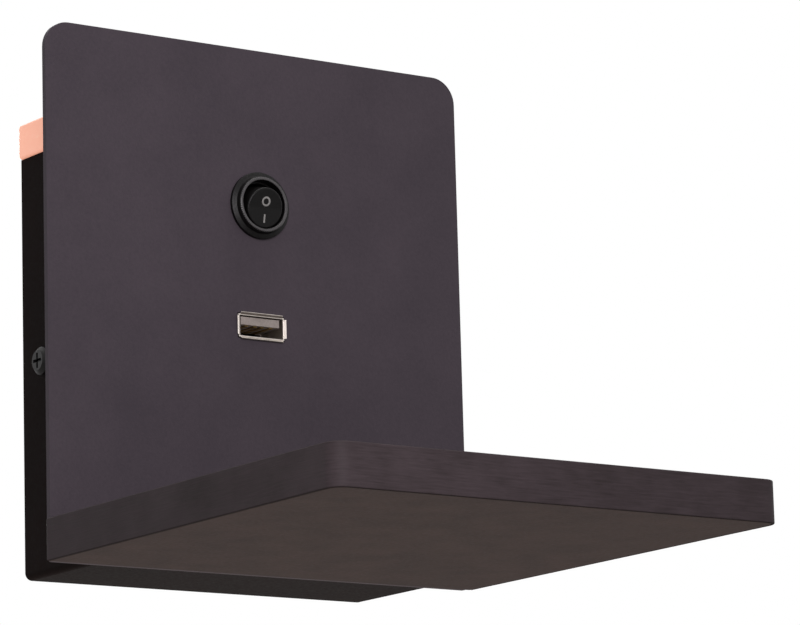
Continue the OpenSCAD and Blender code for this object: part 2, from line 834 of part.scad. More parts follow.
module switch_contact_arm() {
    color([0.8, 0.65, 0.3])
    on_panel(0, switch_z) translate([0, 0, -arm_depth]) rotate([-arm_tilt, 0, 0]) {
        translate([-arm_w / 2, -arm_l / 2, 0]) cube([arm_w, arm_l, arm_t]);
        rotate([0, 90, 0]) cylinder(r = arm_hub_r, h = arm_w, center = true);
        translate([0, contact_y, -contact_h]) cylinder(r = contact_r, h = contact_h + eps);
    }
}

// Cuts for the two blades in the plug
module blade_slots(gap) {
    for (y = [common_y, output_y])
        translate([-blade_w / 2 - gap, y - blade_t / 2 - gap, -barrel_l - 1])
            cube([blade_w + 2 * gap, blade_t + 2 * gap, switch_plug_t + 2]);
}

module switch_plug() {
    color([0.15, 0.15, 0.15])
    on_panel(0, switch_z) difference() {
        translate([0, 0, -barrel_l]) cylinder(r = cavity_r - thread_gap, h = switch_plug_t - thread_gap);
        blade_slots(thread_gap);
    }
}

blade_foot = -barrel_l + switch_plug_t;
contact_y = arm_l / 2 - arm_contact_in;

// Blade in the middle of the switch: it carries the arm's rest
module switch_common_blade() {
    rest_top = -arm_depth - arm_hub_r - thread_gap;
    color([0.85, 0.78, 0.5])
    on_panel(0, switch_z) {
        translate([-blade_w / 2, common_y - blade_t / 2, -barrel_l - blade_out])
            cube([blade_w, blade_t, blade_out + switch_plug_t + rest_t]);
        translate([-arm_w / 2, common_y - blade_t / 2, blade_foot])
            cube([arm_w, (blade_t + rest_w) / 2 - common_y, rest_t]);
        translate([-arm_w / 2, -rest_w / 2, blade_foot])
            cube([arm_w, rest_w, rest_top - blade_foot]);
    }
}

// Blade at the end of the switch, with the fixed contact that the arm closes on
module switch_output_blade() {
    contact_top = -arm_depth - (contact_y + contact_r) * sin(arm_tilt) - contact_h - contact_gap;
    color([0.85, 0.78, 0.5])
    on_panel(0, switch_z) {
        translate([-blade_w / 2, output_y - blade_t / 2, -barrel_l - blade_out])
            cube([blade_w, blade_t, blade_out + switch_plug_t + rest_t]);
        translate([-arm_w / 2, contact_y - contact_r, blade_foot])
            cube([arm_w, output_y + blade_t / 2 - contact_y + contact_r, rest_t]);
        translate([0, contact_y, blade_foot])
            cylinder(r = contact_r, h = contact_top - blade_foot);
    }
}

// Push-on crimps on the two blades
module switch_crimps() {
    color([0.7, 0.2, 0.18])
    on_panel(0, switch_z)
    for (y = [common_y, output_y]) difference() {
        translate([-blade_w / 2 - 0.5, y - crimp_h / 2, -barrel_l - crimp_gap - crimp_l])
            cube([blade_w + 1, crimp_h, crimp_l]);
        translate([-blade_w / 2 - thread_gap, y - blade_t / 2 - thread_gap,
            -barrel_l - blade_out - thread_gap])
            cube([blade_w + 2 * thread_gap, blade_t + 2 * thread_gap, blade_out]);
    }
}

// ---------------------------------------------------------------- charging socket

// Lip along one side of the shell's mouth, folded outwards
module shell_lip(w, reach) {
    translate([-w / 2, reach - lip_t, 0]) rotate([-lip_turn, 0, 0])
        cube([w, lip_t, lip_w * sqrt(2)]);
}

module socket_shell() {
    inner_w = socket_w - 2 * shell_t;
    inner_h = socket_h - 2 * shell_t;
    color([0.78, 0.78, 0.8])
    on_panel(0, socket_z) {
        difference() {
            translate([-socket_w / 2, -socket_h / 2, -socket_l])
                cube([socket_w, socket_h, socket_l + 0.15]);
            translate([-inner_w / 2, -inner_h / 2, -socket_l - 1])
                cube([inner_w, inner_h, socket_l + 2]);
        }
        for (s = [0, 180]) rotate([0, 0, s]) shell_lip(socket_w - 2 * lip_corner, socket_h / 2);
        for (s = [90, 270]) rotate([0, 0, s]) shell_lip(socket_h - 2 * lip_corner, socket_w / 2);
        for (s = [-1, 1])
            translate([s * (socket_w / 2 - shell_t / 2) - shell_t / 2,
                -socket_h / 2 - shell_leg[1], -shell_leg_at])
                cube(shell_leg + [0, eps, 0]);
    }
}

module socket_tongue() {
    half_w = socket_w / 2 - shell_t - thread_gap;
    half_h = socket_h / 2 - shell_t - thread_gap;
    color([0.92, 0.92, 0.9])
    on_panel(0, socket_z) difference() {
        union() {
            translate([-half_w, -half_h, -socket_l]) cube([2 * half_w, 2 * half_h, insulator_l]);
            translate([-tongue_w / 2, tongue_low, -socket_l + insulator_l - eps])
                cube([tongue_w, tongue_t, socket_l - insulator_l - tongue_back]);
        }
        for (x = contact_x)
            translate([x - contact_w / 2 - thread_gap, tongue_low - contact_t - 0.02, -socket_l - 1])
                cube([contact_w + 2 * thread_gap, 2 * contact_t + 0.04, insulator_l + 1]);
    }
}

// Spring contacts under the tongue, with tails that run down into the circuit board
module socket_contacts() {
    tail_low = -socket_h / 2 - board_t - 0.6;
    color([0.9, 0.75, 0.35])
    on_panel(0, socket_z)
    for (x = contact_x) {
        translate([x - contact_w / 2, tongue_low - contact_t, -socket_l - tail_t])
            cube([contact_w, contact_t, socket_l + tail_t - tongue_back - 0.8]);
        translate([x - tail_t / 2, tail_low, -socket_l - tail_t - 0.05])
            cube([tail_t, tongue_low - tail_low, tail_t]);
    }
}

board_top = socket_z - socket_top;
board_bottom = board_top - board_t;

module socket_board() {
    half_w = socket_board_w / 2;
    color([0.1, 0.4, 0.2])
    difference() {
        block([-half_w, front_y + board_start, board_bottom],
            [half_w, front_y + board_end, board_top]);
        for (s = [-1, 1]) {
            translate([s * board_screw_x, front_y + board_screw_at, board_bottom - 1])
                cylinder(r = m2_r + push_gap, h = board_t + 2);
            translate([s * (socket_w / 2 - shell_t / 2), front_y + shell_leg_at - 0.9, board_bottom])
                cube([shell_t + 0.3, 2.2, 3 * board_t], center = true);
        }
        for (x = contact_x)
            translate([x, front_y + socket_l + tail_t / 2 + 0.05, board_bottom - 1])
                cylinder(r = tail_t * 0.8, h = board_t + 2);
    }
}

// Transformer on a circuit board, its height along Z: the windings between two flanges
module transformer_shape(size, flange_t, inset) {
    for (z = [0, size[2] - flange_t]) translate([0, 0, z]) cube([size[0], size[1], flange_t]);
    translate([inset, inset, flange_t - eps])
        cube([size[0] - 2 * inset, size[1] - 2 * inset, size[2] - 2 * flange_t + 2 * eps]);
}

module socket_transformer() {
    color([0.85, 0.75, 0.3])
    translate([socket_w / 2 + socket_part_gap, front_y + board_start + core_gap, board_top])
        transformer_shape(socket_core, socket_flange_t, socket_core_inset);
}

module socket_capacitors() {
    color([0.15, 0.2, 0.45])
    for (c = socket_cans)
        translate([-socket_w / 2 - c[0], front_y + board_start + can_y, board_top])
            cylinder(r = c[1], h = c[2]);
}

module socket_chip() {
    color([0.1, 0.1, 0.1])
    translate([-socket_w / 2 - chip_size[0] - chip_gap, front_y + board_end - chip_in, board_top])
        cube(chip_size);
}

// Plastic holder on the web with two arms under the circuit board
module socket_holder() {
    half_w = socket_board_w / 2 - holder_edge;
    color([0.2, 0.2, 0.22])
    difference() {
        union() {
            block([-half_w, web_back, board_bottom - holder_drop],
                [half_w, web_back + holder_t, board_bottom]);
            for (s = [-1, 1]) {
                x0 = s > 0 ? holder_arm_in : -half_w;
                block([x0, web_back, board_bottom - holder_t],
                    [x0 + half_w - holder_arm_in, front_y + board_end - 0.5, board_bottom]);
                translate([s * board_screw_x, front_y + board_screw_at, board_bottom - holder_boss_h])
                    cylinder(r = holder_boss_r, h = holder_boss_h);
            }
        }
        for (f = holder_fix)
            rod_y(f[0], f[1], m3_r + hole_gap, web_back - 1, web_back + holder_t + 1);
        for (s = [-1, 1])
            translate([s * board_screw_x, front_y + board_screw_at, board_bottom - holder_boss_h - 1])
                cylinder(r = m2_r + thread_gap, h = holder_boss_h + 2);
        block([holder_notch - holder_arm_in, web_back - 1, board_bottom - holder_t],
            [holder_arm_in - holder_notch, web_back + holder_t + 1, board_bottom + 1]);
    }
}

module socket_holder_screws() {
    color([0.75, 0.75, 0.78])
    for (f = holder_fix)
        web_screw(f[0], f[1], web_back + holder_t, m3_r, holder_t + sheet_t - tip_gap,
            m3_head_r, m3_head_h);
}

module socket_board_screws() {
    color([0.75, 0.75, 0.78])
    for (s = [-1, 1])
        translate([s * board_screw_x, front_y + board_screw_at, board_top])
            cross_screw(m2_r, board_t + board_screw_grip, m2_head_r, m2_head_h);
}

// ---------------------------------------------------------------- driver

// Box of the driver's case between two depths behind the web, shrunk by a margin
module driver_box(d0, d1, margin) {
    block([driver_left + margin, web_back + d0, driver_z - driver_h / 2 + margin],
        [driver_right - margin, web_back + d1, driver_z + driver_h / 2 - margin]);
}

// Hole for a lead in the end wall at x, at its depth behind the web and height
module lead_hole(x, lead) {
    rod_x(web_back + lead[0], driver_z + lead[1], lead_hole_r, x - 2 * driver_wall, x + 2 * driver_wall);
}

module driver_tray() {
    color([0.93, 0.93, 0.92])
    difference() {
        union() {
            difference() {
                driver_box(0, driver_tray_d, 0);
                driver_box(driver_wall, driver_tray_d + 1, driver_wall);
            }
            for (x = [driver_left + driver_wall - eps, driver_right - driver_wall - driver_rib_t + eps])
                block([x, web_back + driver_wall - eps, driver_z - driver_h / 2 + driver_wall],
                    [x + driver_rib_t, driver_board_y, driver_z + driver_h / 2 - driver_wall]);
            for (x = [driver_left - driver_ear, driver_right - eps])
                block([x, web_back, driver_z - driver_ear_h / 2],
                    [x + driver_ear, web_back + driver_ear_t, driver_z + driver_ear_h / 2]);
        }
        for (f = driver_fix)
            rod_y(f[0], f[1], m3_r + push_gap, web_back - 1, web_back + driver_ear_t + 1);
        lead_hole(driver_right, neutral_lead);
        lead_hole(driver_right, live_lead);
        lead_hole(driver_left, plus_lead);
        lead_hole(driver_left, minus_lead);
    }
}

module driver_lid() {
    color([0.96, 0.96, 0.95])
    difference() {
        driver_box(driver_tray_d, driver_tray_d + driver_lid_d, 0);
        driver_box(driver_tray_d - 1, driver_tray_d + driver_lid_d - driver_wall, driver_wall);
    }
}

module driver_board() {
    margin = driver_wall + driver_board_gap;
    color([0.1, 0.35, 0.5])
    block([driver_left + margin, driver_board_y, driver_z - driver_h / 2 + margin],
        [driver_right - margin, driver_board_y + driver_board_t, driver_z + driver_h / 2 - margin]);
}

driver_part_y = driver_board_y + driver_board_t;

module driver_transformer() {
    color([0.85, 0.75, 0.3])
    translate([driver_left + driver_core_in, driver_part_y, driver_z + driver_core[1] / 2])
        rotate([-90, 0, 0]) transformer_shape(driver_core, driver_flange_t, driver_core_inset);
}

module driver_capacitors() {
    color([0.2, 0.2, 0.25])
    for (c = driver_left_cans)
        rod_y(driver_left + c[0], driver_z + c[1], c[2], driver_part_y, driver_part_y + c[3]);
    let (c = driver_right_can)
        rod_y(driver_right - c[0], driver_z + c[1], c[2], driver_part_y, driver_part_y + c[3]);
}

module driver_screws() {
    color([0.75, 0.75, 0.78])
    for (f = driver_fix)
        web_screw(f[0], f[1], web_back + driver_ear_t, m3_r, driver_ear_t + sheet_t - tip_gap,
            m3_head_r - 0.3, m3_head_h);
}

// ---------------------------------------------------------------- terminal block and earth

module terminal_block() {
    back = web_back + block_d;
    color([0.9, 0.9, 0.88])
    difference() {
        block([block_x - block_w / 2, web_back, block_z - block_h / 2],
            [block_x + block_w / 2, back, block_z + block_h / 2]);
        for (x = pole_x) {
            half = pole_tube / 2 + thread_gap;
            block([x - half, pole_y - half, block_z - block_h / 2 - 1],
                [x + half, pole_y + half, block_z + block_h / 2 + 1]);
            for (s = [-1, 1])
                rod_y(x, block_z + s * clamp_screw_z, clamp_head_r + push_gap, pole_y, back + 1);
        }
        for (f = block_fix) {
            rod_y(f[0], f[1], block_fix_r + push_gap, web_back - 1, back + 1);
            rod_y(f[0], f[1], block_fix_head_r + push_gap, block_seat_y, back + 1);
        }
    }
}

// Brass tubes that clamp the wires, one for each pole
module terminal_tubes() {
    color([0.85, 0.7, 0.3])
    for (x = pole_x) difference() {
        block([x - pole_tube / 2, pole_y - pole_tube / 2, block_z - pole_tube_l / 2],
            [x + pole_tube / 2, pole_y + pole_tube / 2, block_z + pole_tube_l / 2]);
        translate([x, pole_y, block_z - pole_tube_l / 2 - 1])
            cylinder(r = pole_bore_r, h = pole_tube_l + 2);
        for (s = [-1, 1])
            rod_y(x, block_z + s * clamp_screw_z, clamp_screw_r + thread_gap,
                pole_y, pole_y + pole_tube);
    }
}

module terminal_screws() {
    color([0.78, 0.78, 0.8])
    for (x = pole_x, s = [-1, 1])
        web_screw(x, block_z + s * clamp_screw_z, pole_y + pole_tube / 2 + thread_gap,
            clamp_screw_r, pole_tube / 2 + 3 * thread_gap - clamp_reach, clamp_head_r, clamp_head_h);
}

module terminal_fixing_screws() {
    color([0.75, 0.75, 0.78])
    for (f = block_fix)
        web_screw(f[0], f[1], block_seat_y, block_fix_r,
            block_seat_y - web_front - tip_gap, block_fix_head_r, m3_head_h);
}

module earth_washer() {
    color([0.75, 0.75, 0.78])
    difference() {
        rod_y(earth_x, earth_z, washer_r, web_back, web_back + washer_t);
        rod_y(earth_x, earth_z, m4_r + hole_gap, web_back - 1, web_back + washer_t + 1);
    }
}

ring_y = web_back + washer_t;
ring_barrel_r = wire_r + 0.5;
ring_barrel_y = ring_y + ring_barrel_r;
ring_barrel_l = 5;

// Ring terminal: a flat eye and the barrel that grips the earth wire below it
module earth_ring() {
    color([0.8, 0.8, 0.82])
    difference() {
        union() {
            rod_y(earth_x, earth_z, ring_r, ring_y, ring_y + ring_t);
            block([earth_x - 1.2, ring_y, earth_z - ring_r - 1.6],
                [earth_x + 1.2, ring_y + ring_t, earth_z - ring_r + 1]);
            translate([earth_x, ring_barrel_y, earth_z - ring_r - 1 - ring_barrel_l])
                cylinder(r = ring_barrel_r, h = ring_barrel_l);
        }
        rod_y(earth_x, earth_z, m4_r + hole_gap, ring_y - 1, ring_y + ring_t + 1);
        translate([earth_x, ring_barrel_y, earth_z - ring_r - 2 - ring_barrel_l])
            cylinder(r = wire_r + thread_gap, h = 1 + wire_in);
    }
}

module earth_screw() {
    color([0.8, 0.8, 0.82])
    web_screw(earth_x, earth_z, ring_y + ring_t, m4_r, washer_t + ring_t + sheet_t - tip_gap,
        m4_head_r - 0.4, m4_head_h);
}

// ---------------------------------------------------------------- wire routes

// Where the wires start in the terminal block: mains wires and, beside them, thin wires
pole_top = block_z + pole_tube_l / 2 - wire_in;
thick_off = pole_bore_r - wire_r - 0.05;
thin_off = pole_bore_r - thin_wire_r - 0.05;
live_start = [pole_x[0] - thick_off, pole_y, pole_top];
live_thin_start = [pole_x[0] + thin_off, pole_y, pole_top];
neutral_start = [pole_x[1] - thick_off, pole_y, pole_top];
neutral_thin_start = [pole_x[1] + thin_off, pole_y, pole_top];
earth_start = [pole_x[2], pole_y, pole_top];

// Where the wires end
crimp_back = front_y + barrel_l + crimp_gap + crimp_l;
common_end = [0, crimp_back, switch_z + common_y];
output_end = [0, crimp_back, switch_z + output_y];
driver_live_end = [driver_right - lead_in, web_back + live_lead[0], driver_z + live_lead[1]];
driver_neutral_end = [driver_right - lead_in, web_back + neutral_lead[0],
    driver_z + neutral_lead[1]];
driver_plus_end = [driver_left + lead_in, web_back + plus_lead[0], driver_z + plus_lead[1]];
driver_minus_end = [driver_left + lead_in, web_back + minus_lead[0], driver_z + minus_lead[1]];
socket_live_end = [socket_board_w / 2, socket_wire_y[0], board_top - board_t / 2];
socket_neutral_end = [socket_board_w / 2, socket_wire_y[1], board_top - board_t / 2];
led_plus_end = [-led_board_half_w + led_wire_in, led_wire_y[1], led_top_z + slide_gap];
led_minus_end = [-led_board_half_w + led_wire_in, led_wire_y[0], led_top_z + slide_gap];
ring_end = [earth_x, ring_barrel_y, earth_z - ring_r - 2 - ring_barrel_l + wire_in];

// Three points on the straight stretch with which a wire leaves its end
function straight(end, way, step) = [end, end + way * step, end + 2 * way * step];
// The same stretch, met from its far side
function into(end, way, step) = [end + 2 * way * step, end + way * step, end];
// Points on the way, each given from the end that it goes with
function near(end, offsets) = [for (o = offsets) end + o];

up = [0, 0, 1];
down = [0, 0, -1];
right = [1, 0, 0];
left = [-1, 0, 0];
back = [0, 1, 0];
pole_step = 3.8;
blade_step = 2.1;
board_step = 2;
lead_step = 2.8;
led_step = 1.2;
ring_step = 4.6;

live_route = concat(straight(live_start, up, pole_step),
    near(live_start, [[-0.1, 6.3, 19.2]]),
    near(socket_live_end, [[7.4, 6, -1.1]]),
    near(common_end, [[24.8, 0, -18.5], [16, 4.1, -8], [8, 6.7, -2.9], [2.4, 6.4, -0.5]]),
    into(common_end, back, blade_step));
live_thin_route = concat(straight(live_thin_start, up, pole_step),
    near(live_thin_start, [[0.3, 2, 16.2]]),
    near(socket_live_end, [[7.9, -1, -6.6], [6.4, -0.2, -1.4]]),
    into(socket_live_end, right, board_step));
neutral_route = concat(straight(neutral_start, up, pole_step),
    near(neutral_start, [[-2.5, -2, 9.5]]),
    near(driver_neutral_end, [[16.1, -4, 7.2], [10.7, -2.6, 6.6], [7.4, -1, 3]]),
    into(driver_neutral_end, right, lead_step));
neutral_thin_route = concat(straight(neutral_thin_start, up, pole_step),
    near(neutral_thin_start, [[-1.7, 4.2, 17.7]]),
    near(socket_neutral_end, [[10, -1.4, -6.6], [6.8, 0, -1.2]]),
    into(socket_neutral_end, right, board_step));
switched_route = concat(straight(output_end, back, blade_step),
    near(output_end, [[2.4, 6.4, -0.2], [8, 6.7, -2.8], [17, 4.4, -9.4], [28.6, 1, -22.8]]),
    near(socket_live_end, [[10.8, 8.4, -1.1]]),
    near(driver_live_end, [[14.1, 11, 21.2], [9.7, 6, 11.2], [7.1, 0.6, 2.3]]),
    into(driver_live_end, right, lead_step));
plus_route = concat(straight(driver_plus_end, left, board_step),
    near(driver_plus_end, [[-8.5, 0.3, 2.8], [-8.9, 1.5, 13.2]]),
    near(led_plus_end, [[-2.1, -6, -38.5], [-1.3, -2.4, -18.5], [-0.1, 4, -10], [0.1, 5.4, -4],
        [-0.1, 4.8, 1.4], [0, 2.2, 3.4]]),
    into(led_plus_end, up, led_step));
minus_route = concat(straight(driver_minus_end, left, board_step),
    near(driver_minus_end, [[-10.1, -0.1, 3.2], [-10.7, -0.5, 19.2]]),
    near(led_minus_end, [[-3.9, -1, -38.5], [-3.7, 2.6, -18.5], [-2.9, 14, -8.5], [-2.7, 15.6, -3],
        [-2.6, 13.4, 2.8], [-2.3, 7, 3.8], [-1.1, 1.4, 3.4]]),
    into(led_minus_end, up, led_step));
earth_route = concat(straight(earth_start, up, pole_step),
    near(earth_start, [[-3.9, 0.4, 11.7]]),
    near(ring_end, [[1.4, 1.5, -14.8]]),
    into(ring_end, down, ring_step));

module wires_live() {
    color([0.4, 0.22, 0.12]) {
        wire(live_route, wire_r);
        wire(live_thin_route, thin_wire_r);
    }
}

module wires_neutral() {
    color([0.15, 0.3, 0.65]) {
        wire(neutral_route, wire_r);
        wire(neutral_thin_route, thin_wire_r);
    }
}

module wire_switched() {
    color([0.4, 0.22, 0.12]) wire(switched_route, wire_r);
}

module wire_led_plus() {
    color([0.75, 0.1, 0.1]) wire(plus_route, thin_wire_r);
}

module wire_led_minus() {
    color([0.1, 0.1, 0.1]) wire(minus_route, thin_wire_r);
}

module wire_earth() {
    color([0.35, 0.65, 0.2]) wire(earth_route, wire_r);
}

front_panel();
shelf_board();
shelf_edge_band();
shelf_screws();
housing();
panel_studs();
panel_nuts();
wall_bracket();
cable_grommet();
side_screws();
light_cover();
led_angle();
led_angle_screws();
led_board();
led_board_screws();
led_chips();
switch_body();
switch_rocker();
switch_plunger();
switch_spring();
switch_contact_arm();
switch_plug();
switch_common_blade();
switch_output_blade();
switch_crimps();
socket_shell();
socket_tongue();
socket_contacts();
socket_board();
socket_transformer();
socket_capacitors();
socket_chip();
socket_holder();
socket_holder_screws();
socket_board_screws();
driver_tray();
driver_lid();
driver_board();
driver_transformer();
driver_capacitors();
driver_screws();
terminal_block();
terminal_tubes();
terminal_screws();
terminal_fixing_screws();
earth_screw();
earth_washer();
earth_ring();
wires_live();
wires_neutral();
wire_switched();
wire_led_plus();
wire_led_minus();
wire_earth();
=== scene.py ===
"""Looks of a wall lamp with a shelf.

A powder-coated steel panel stands on a folded steel housing. An opal acrylic cover, lit from
inside, closes the housing's top, and a laminated shelf with a grained edge band sticks out from
the panel's foot. A rocker switch and a charging socket sit in the panel. Lengths are in metres,
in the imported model's frame: X to the right, Y into the wall, Z up.
"""
import json
import math

import bmesh
import bpy
import numpy as np
from mathutils import Matrix, Vector


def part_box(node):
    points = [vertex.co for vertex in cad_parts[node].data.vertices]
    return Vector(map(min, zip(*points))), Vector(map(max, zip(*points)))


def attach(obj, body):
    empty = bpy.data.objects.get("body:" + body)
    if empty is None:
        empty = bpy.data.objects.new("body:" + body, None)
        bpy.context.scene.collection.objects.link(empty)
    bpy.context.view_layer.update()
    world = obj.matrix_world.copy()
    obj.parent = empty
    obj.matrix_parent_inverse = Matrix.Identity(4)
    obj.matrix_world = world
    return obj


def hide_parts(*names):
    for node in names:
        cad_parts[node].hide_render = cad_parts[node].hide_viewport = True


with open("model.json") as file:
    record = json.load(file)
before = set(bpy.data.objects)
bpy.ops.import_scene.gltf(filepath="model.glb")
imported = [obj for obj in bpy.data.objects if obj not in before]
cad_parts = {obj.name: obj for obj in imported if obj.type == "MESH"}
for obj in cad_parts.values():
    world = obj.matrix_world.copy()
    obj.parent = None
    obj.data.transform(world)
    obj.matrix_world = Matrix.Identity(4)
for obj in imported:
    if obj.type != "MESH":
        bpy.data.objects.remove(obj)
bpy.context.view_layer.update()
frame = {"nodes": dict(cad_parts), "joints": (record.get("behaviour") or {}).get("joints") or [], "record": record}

MM = 0.001
NODES = frame["nodes"]
BODY_OF = {n: b for b, names in frame["record"]["behaviour"]["bodies"].items() for n in names}
JOINTS = {j["name"]: j for j in frame["joints"]}

# ------------------------------------------------------------------ camera and light

# Camera fitted to the lamp's edges in the photograph; its lens and sensor are in millimetres
CAMERA_PLACE = (-0.5681, -0.8906, -0.197)
CAMERA_TURN = math.radians(-35.326)
CAMERA_RISE = math.radians(-11.467)
CAMERA_ROLL = math.radians(-1.558)
CAMERA_LENS = 194.4
SENSOR_WIDTH = 36
NEAR_CLIP = 0.01
FLOOR_BELOW = 1.25
FLOOR_SIDE = 12.0
# Strength of the world's light on surfaces that don't mirror it
WORLD_LIGHT = 0.38


def camera_axes(turn, rise, roll):
    """Right, up and backward directions of a camera that is turned from +Y about Z, pitched
    by its rise above the horizon and then rolled about the way it looks."""
    ahead = Vector((-math.sin(turn) * math.cos(rise), math.cos(turn) * math.cos(rise),
                    -math.sin(rise)))
    level = ahead.cross(Vector((0, 0, 1))).normalized()
    top = level.cross(ahead)
    right = math.cos(roll) * level + math.sin(roll) * top
    up = math.cos(roll) * top - math.sin(roll) * level
    return right, up, -ahead


def make_camera():
    """Long-lens camera below and to the left of the lamp, where the photograph was taken."""
    data = bpy.data.cameras.new("camera")
    data.lens = CAMERA_LENS
    data.sensor_width = SENSOR_WIDTH
    data.clip_start = NEAR_CLIP
    camera = bpy.data.objects.new("camera", data)
    bpy.context.scene.collection.objects.link(camera)
    turned = Matrix(camera_axes(CAMERA_TURN, CAMERA_RISE, CAMERA_ROLL)).transposed().to_4x4()
    camera.matrix_world = Matrix.Translation(CAMERA_PLACE) @ turned
    bpy.context.scene.camera = camera


# Each soft box: its place, the point it faces, its side in metres, its watts and its colour
LAMPS = {
    "key_light": ((-0.15, -0.4, 0.08), (0, -0.05, 0), 0.2, 1.15, (1.0, 0.95, 0.99)),
    "low_light": ((0.2, 0.3, -1.0), (0, -0.08, -0.04), 0.8, 3.6, (1.0, 0.62, 0.52)),
    "top_light": ((0, -0.1, 2.4), (0, -0.1, 0), 2.0, 42, (1.0, 0.98, 0.96)),
    "rear_light": ((0.35, 0.8, 0.3), (0, 0, 0), 0.5, 5, (1.0, 0.98, 0.97)),
}


def make_lamp(name, place, target, size, power, colour):
    """Square soft box of the given side that faces a target."""
    data = bpy.data.lights.new(name, "AREA")
    data.shape = "SQUARE"
    data.size = size
    data.energy = power
    data.color = colour
    lamp = bpy.data.objects.new(name, data)
    bpy.context.scene.collection.objects.link(lamp)
    lamp.visible_camera = False
    lamp.location = place
    lamp.rotation_euler = (Vector(target) - Vector(place)).to_track_quat("-Z", "Y").to_euler()


# ------------------------------------------------------------------ material tools


def to_linear(code):
    """Linear colour and full alpha of an sRGB hex code such as "4a4648"."""
    srgb = np.array([int(code[i:i + 2], 16) for i in (0, 2, 4)]) / 255
    linear = np.where(srgb <= 0.04045, srgb / 12.92, ((srgb + 0.055) / 1.055) ** 2.4)
    return (*linear.tolist(), 1.0)


def add(tree, kind, inputs=None, **settings):
    """Node of a kind with its settings; each input is a value or the output that feeds it."""
    made = tree.nodes.new(kind)
    for key, value in settings.items():
        setattr(made, key, value)
    for key, value in (inputs or {}).items():
        if isinstance(value, bpy.types.NodeSocket):
            tree.links.new(value, made.inputs[key])
        else:
            made.inputs[key].default_value = value
    return made


# The colour mix node's inputs and its output for colours
SHARE, FIRST, SECOND, MIXED = 0, 6, 7, 2
# Detail and roughness of the broad noise and of the fine grain
CLOUD = {"Detail": 4.0, "Roughness": 0.6}
GRAIN = {"Detail": 3.0, "Roughness": 0.7}
# A noise stays near its middle of 0.5, and the sum of two near 1, so these usual spreads are
# stretched over the whole range
SPREAD_OF_ONE = {"From Min": 0.3, "From Max": 0.7}
SPREAD_OF_TWO = {"From Min": 0.7, "From Max": 1.3}


def per_mm(size):
    """Noise scale at which one feature of the pattern measures size millimetres."""
    return 1 / (size * MM)


def finish(name, light, dark, broad, grain, rough, bump=0.0, stretch=(1, 1, 1), **shader):
    """Surface with two patterns. A broad noise and a fine grain, whose feature sizes are given
    in millimetres, blend its dark and light colours; the grain also moves the roughness
    between its two values and lifts the surface by bump millimetres. Stretch draws the grain
    out along an axis where it is under 1."""
    material = bpy.data.materials.new(name)
    material.use_nodes = True
    tree = material.node_tree
    surface = tree.nodes["Principled BSDF"]
    for key, value in shader.items():
        surface.inputs[key.replace("_", " ")].default_value = value
    place = add(tree, "ShaderNodeTexCoord").outputs["Object"]
    drawn = add(tree, "ShaderNodeMapping", {"Vector": place, "Scale": stretch}).outputs[0]
    cloud = add(tree, "ShaderNodeTexNoise", {"Vector": place, "Scale": per_mm(broad), **CLOUD})
    fine = add(tree, "ShaderNodeTexNoise", {"Vector": drawn, "Scale": per_mm(grain), **GRAIN})
    both = add(tree, "ShaderNodeMath", {0: cloud.outputs[0], 1: fine.outputs[0]},
               operation="ADD")
    share = add(tree, "ShaderNodeMapRange", {"Value": both.outputs[0], **SPREAD_OF_TWO})
    colour = add(tree, "ShaderNodeMix", {SHARE: share.outputs[0], FIRST: to_linear(dark),
                                         SECOND: to_linear(light)}, data_type="RGBA")
    tree.links.new(colour.outputs[MIXED], surface.inputs["Base Color"])
    gloss = add(tree, "ShaderNodeMapRange", {"Value": fine.outputs[0], "To Min": rough[0],
                                             "To Max": rough[1], **SPREAD_OF_ONE})
    tree.links.new(gloss.outputs[0], surface.inputs["Roughness"])
    if bump:
        lift = add(tree, "ShaderNodeBump", {"Height": fine.outputs[0], "Strength": 1.0,
                                            "Distance": bump * MM})
        tree.links.new(lift.outputs[0], surface.inputs["Normal"])
    return material


# ------------------------------------------------------------------ materials

# Each finish gives its light and dark colours, the size of its clouds and of its grain in
# millimetres, and its roughness where the grain is low and high.

# Polyester powder coat on steel, fine and matt: a soft sand-like grain that scatters light
panel_coat = finish("powder_coated_steel_fine_matt", "433c42", "3a343a", 22, 0.7, (0.5, 0.66),
                    bump=0.03, Specular_IOR_Level=0.1)
# The same coat in black on the folded housing, a little smoother and much darker
housing_coat = finish("powder_coated_steel_black", "170f0e", "100b0a", 30, 0.8, (0.55, 0.7),
                      bump=0.02, Specular_IOR_Level=0.025)
# Melamine paper pressed on particle board: a dull mottled print
laminate = finish("pressed_melamine_laminate", "3b302d", "2a2220", 9, 1.1, (0.6, 0.75),
                  bump=0.015, Specular_IOR_Level=0.08)
# Extruded ABS edge band with an embossed wood grain that runs along the edge
edge_plastic = finish("embossed_abs_edge_band", "3b3336", "272122", 18, 0.45, (0.5, 0.7),
                      bump=0.04, stretch=(0.06, 0.06, 1), Specular_IOR_Level=0.08)
# The same band on its top and bottom edges, with painted shade: dark and dull ABS
band_edge_painted_shade = finish("abs_band_edge_painted_shade", "1b1616", "120f0f", 6, 0.4, (0.6, 0.75),
                         bump=0.01, Specular_IOR_Level=0.05)
# Moulded nylon, black, with a fine spark-eroded texture
black_nylon = finish("moulded_black_nylon", "0e0d0d", "090808", 6, 0.3, (0.34, 0.46),
                     bump=0.006, Specular_IOR_Level=0.15)
# The bezel's crest with a painted highlight: paler, and smoother than the rest of the bezel
crest_highlight_nylon = finish("black_nylon_painted_highlight", "4a4849", "363435", 4, 0.3, (0.3, 0.4),
                      Specular_IOR_Level=0.3)
# Pad-printed enamel of the switch marks, white once and dulled by wear
white_print = finish("worn_pad_printed_enamel", "858380", "72706e", 2, 0.3, (0.4, 0.5))
# Low-carbon steel with bright zinc plating: small spangles and a bluish cast
zinc_plate = finish("zinc_plated_steel", "c9ccd1", "a3a6ac", 5, 0.8, (0.28, 0.42),
                    bump=0.004, Metallic=1.0)
